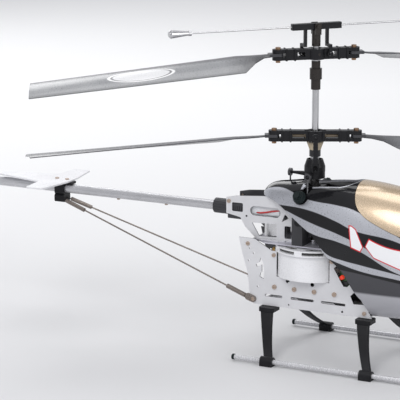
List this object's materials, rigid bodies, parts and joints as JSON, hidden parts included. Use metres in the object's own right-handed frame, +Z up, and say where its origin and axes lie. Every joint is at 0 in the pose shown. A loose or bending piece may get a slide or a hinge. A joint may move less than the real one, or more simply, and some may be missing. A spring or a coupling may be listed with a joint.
{
  "type": "remote control helicopter",
  "caption": "Coaxial remote control helicopter with contra-rotating rotors, flybar, swashplate, glossy canopy, metal frame, tail boom and skid landing gear.",
  "frame": {"origin": "on the ground below the middle of the whole model's length and width", "axes": "+X towards the nose, +Y to the helicopter's left, +Z up"},
  "size_m": [0.7916, 0.4132, 0.3307],
  "materials": {
    "frame_white": "satin",
    "guard_white": "satin moulded",
    "deck_grey": "satin",
    "black_plastic": "moulded",
    "head_plastic": "moulded",
    "dark_panel": "moulded",
    "rubber_black": "matt",
    "tube_white": "gloss",
    "boom_silver": "satin",
    "bright_steel": "polished",
    "screw_bronze": "plated",
    "motor_silver": "drawn can",
    "gear_nylon": "moulded nylon",
    "pinion_brass": "machined",
    "battery_wrap": "shrink wrap",
    "board_green": "circuit board",
    "brace_copper": "plated",
    "sheet_white": "satin sheet",
    "canopy_black": "printed gloss",
    "window_gold": "tinted gloss",
    "blade_grey": "translucent flexible plastic",
    "cradle_beige": "moulded nylon"
  },
  "bodies": {
    "frame": {"skid_tubes": "tube_white", "skid_end_caps": "rubber_black", "skid_legs": "black_plastic", "lower_side_plates": "frame_white", "bottom_plate": "frame_white", "frame_spacers": "bright_steel", "gear_guard": "guard_white", "gear_cover_ring": "guard_white", "deck_plate": "deck_grey", "upper_side_plates": "frame_white", "boom_clamp": "dark_panel", "frame_screws": "screw_bronze", "mast_bearing_block": "head_plastic", "mast_bearings": "bright_steel", "shaft_thrust_block": "head_plastic", "motor_cans": "motor_silver", "battery_pack": "battery_wrap", "servos": "dark_panel", "receiver_board": "board_green", "tail_boom": "boom_silver", "boom_clip": "black_plastic", "tail_braces": "brace_copper", "horizontal_stabiliser": "sheet_white", "tail_fin": "sheet_white", "tail_mount_block": "black_plastic", "canopy_shell": "canopy_black", "canopy_window": "window_gold", "canopy_fasteners": "rubber_black"},
    "upper_rotor": {"inner_shaft": "bright_steel", "upper_drive_gear": "gear_nylon", "upper_shaft_collars": "bright_steel", "head_post": "head_plastic", "head_pins": "bright_steel"},
    "upper_hub": {"upper_hub": "head_plastic", "upper_blade_bolts": "bright_steel"},
    "upper_blade_a": {"upper_blade_a": "blade_grey"},
    "upper_blade_b": {"upper_blade_b": "blade_grey"},
    "flybar": {"flybar_centre": "head_plastic", "flybar_rods": "bright_steel"},
    "flybar_link_a": {"flybar_link_a": "head_plastic"},
    "flybar_link_b": {"flybar_link_b": "head_plastic"},
    "lower_rotor": {"outer_shaft": "bright_steel", "lower_drive_gear": "gear_nylon", "lower_head_cradle": "cradle_beige"},
    "lower_hub": {"lower_hub": "head_plastic", "lower_blade_bolts": "bright_steel"},
    "lower_blade_a": {"lower_blade_a": "blade_grey"},
    "lower_blade_b": {"lower_blade_b": "blade_grey"},
    "lower_pitch_link_a": {"lower_pitch_link_a": "head_plastic"},
    "lower_pitch_link_b": {"lower_pitch_link_b": "head_plastic"},
    "swash_gimbal": {"swashplate_ball": "head_plastic"},
    "swash_ring": {"swashplate_ring": "head_plastic"},
    "swash_rotor": {"swashplate_rotor": "head_plastic"},
    "servo_arm_pitch": {"servo_arm_pitch": "head_plastic"},
    "pushrod_pitch": {"pushrod_pitch": "bright_steel"},
    "servo_arm_roll": {"servo_arm_roll": "head_plastic"},
    "pushrod_roll": {"pushrod_roll": "bright_steel"},
    "pinion_front": {"motor_pinion_front": "pinion_brass"},
    "pinion_rear": {"motor_pinion_rear": "pinion_brass"},
    "tail_rotor": {"tail_rotor": "black_plastic"}
  },
  "joints": [
    {"name": "upper_rotor_spin", "type": "hinge", "parent": "frame", "child": "upper_rotor", "pos_m": [0.12519, 0, 0.2996], "axis": [0, 0, 1], "continuous": true},
    {"name": "lower_rotor_spin", "type": "hinge", "parent": "frame", "child": "lower_rotor", "pos_m": [0.12519, 0, 0.2183], "axis": [0, 0, 1], "continuous": true},
    {"name": "pinion_front_spin", "type": "hinge", "parent": "frame", "child": "pinion_front", "pos_m": [0.16416, 0, 0.085], "axis": [0, 0, 1], "continuous": true},
    {"name": "pinion_rear_spin", "type": "hinge", "parent": "frame", "child": "pinion_rear", "pos_m": [0.08622, 0, 0.096], "axis": [0, 0, 1], "continuous": true},
    {"name": "flybar_teeter", "type": "hinge", "parent": "upper_rotor", "child": "flybar", "pos_m": [0.12519, 0, 0.3265], "axis": [-0.7431, 0.6691, 0], "range_deg": [-8, 8]},
    {"name": "upper_hub_teeter", "type": "hinge", "parent": "upper_rotor", "child": "upper_hub", "pos_m": [0.12519, 0, 0.2996], "axis": [-0.7431, 0.6691, 0], "range_deg": [-8, 8]},
    {"name": "flybar_link_a_pivot", "type": "hinge", "parent": "flybar", "child": "flybar_link_a", "pos_m": [0.13288, 0.00855, 0.3265], "axis": [-0.7431, 0.6691, 0], "range_deg": [-8, 8]},
    {"name": "flybar_link_b_pivot", "type": "hinge", "parent": "flybar", "child": "flybar_link_b", "pos_m": [0.11749, -0.00855, 0.3265], "axis": [-0.7431, 0.6691, 0], "range_deg": [-8, 8]},
    {"name": "upper_blade_a_fold", "type": "hinge", "parent": "upper_hub", "child": "upper_blade_a", "pos_m": [0.15462, 0.02435, 0.2996], "axis": [0, 0, 1], "range_deg": [-70, 70]},
    {"name": "upper_blade_b_fold", "type": "hinge", "parent": "upper_hub", "child": "upper_blade_b", "pos_m": [0.09575, -0.02435, 0.2996], "axis": [0, 0, 1], "range_deg": [-70, 70]},
    {"name": "lower_blade_a_fold", "type": "hinge", "parent": "lower_hub", "child": "lower_blade_a", "pos_m": [0.16116, 0.01794, 0.2183], "axis": [0, 0, 1], "range_deg": [-70, 70]},
    {"name": "lower_blade_b_fold", "type": "hinge", "parent": "lower_hub", "child": "lower_blade_b", "pos_m": [0.08921, -0.01794, 0.2183], "axis": [0, 0, 1], "range_deg": [-70, 70]},
    {"name": "swash_roll", "type": "hinge", "parent": "frame", "child": "swash_gimbal", "pos_m": [0.12519, 0, 0.1795], "axis": [1, 0, 0], "range_deg": [-6, 6]},
    {"name": "swash_pitch", "type": "hinge", "parent": "swash_gimbal", "child": "swash_ring", "pos_m": [0.12519, 0, 0.1795], "axis": [0, 1, 0], "range_deg": [-6, 6]},
    {"name": "swash_rotor_spin", "type": "hinge", "parent": "swash_ring", "child": "swash_rotor", "pos_m": [0.12519, 0, 0.1795], "axis": [0, 0, 1], "continuous": true},
    {"name": "lower_hub_feather", "type": "hinge", "parent": "lower_rotor", "child": "lower_hub", "pos_m": [0.12519, 0, 0.2183], "axis": [0.8949, 0.4462, 0], "range_deg": [-6, 6]},
    {"name": "lower_pitch_link_a_pivot", "type": "hinge", "parent": "lower_hub", "child": "lower_pitch_link_a", "pos_m": [0.13112, -0.0119, 0.2183], "axis": [0.8949, 0.4462, 0], "range_deg": [-6, 6]},
    {"name": "lower_pitch_link_b_pivot", "type": "hinge", "parent": "lower_hub", "child": "lower_pitch_link_b", "pos_m": [0.11925, 0.0119, 0.2183], "axis": [0.8949, 0.4462, 0], "range_deg": [-6, 6]},
    {"name": "servo_arm_pitch_turn", "type": "hinge", "parent": "frame", "child": "servo_arm_pitch", "pos_m": [0.12019, 0, 0.1355], "axis": [0, 1, 0], "range_deg": [-8, 8]},
    {"name": "pushrod_pitch_pivot", "type": "hinge", "parent": "servo_arm_pitch", "child": "pushrod_pitch", "pos_m": [0.09889, 0, 0.1355], "axis": [0, 1, 0], "range_deg": [-8, 8]},
    {"name": "servo_arm_roll_turn", "type": "hinge", "parent": "frame", "child": "servo_arm_roll", "pos_m": [0.12019, -0.028, 0.1355], "axis": [0, 1, 0], "range_deg": [-10, 10]},
    {"name": "pushrod_roll_pivot", "type": "hinge", "parent": "servo_arm_roll", "child": "pushrod_roll", "pos_m": [0.13119, -0.0312, 0.1355], "axis": [0, 1, 0], "range_deg": [-10, 10]},
    {"name": "tail_rotor_spin", "type": "hinge", "parent": "frame", "child": "tail_rotor", "pos_m": [-0.36581, 0.0129, 0.1372], "axis": [0, 1, 0], "continuous": true}
  ],
  "couplings": [
    {"joint": "pinion_front_spin", "follows": "upper_rotor_spin", "ratio": -6.6667},
    {"joint": "pinion_rear_spin", "follows": "lower_rotor_spin", "ratio": -6.6667},
    {"joint": "upper_hub_teeter", "follows": "flybar_teeter", "ratio": 1},
    {"joint": "flybar_link_a_pivot", "follows": "flybar_teeter", "ratio": -1},
    {"joint": "flybar_link_b_pivot", "follows": "flybar_teeter", "ratio": -1},
    {"joint": "swash_rotor_spin", "follows": "lower_rotor_spin", "ratio": 1},
    {"joint": "lower_hub_feather", "follows": "swash_roll", "ratio": 0.89493},
    {"joint": "lower_pitch_link_a_pivot", "follows": "swash_roll", "ratio": -0.89493},
    {"joint": "lower_pitch_link_b_pivot", "follows": "swash_roll", "ratio": -0.89493},
    {"joint": "servo_arm_pitch_turn", "follows": "swash_pitch", "ratio": 1.2347},
    {"joint": "pushrod_pitch_pivot", "follows": "swash_pitch", "ratio": -1.2347},
    {"joint": "servo_arm_roll_turn", "follows": "swash_roll", "ratio": 1.4909},
    {"joint": "pushrod_roll_pivot", "follows": "swash_roll", "ratio": -1.4909}
  ]
}
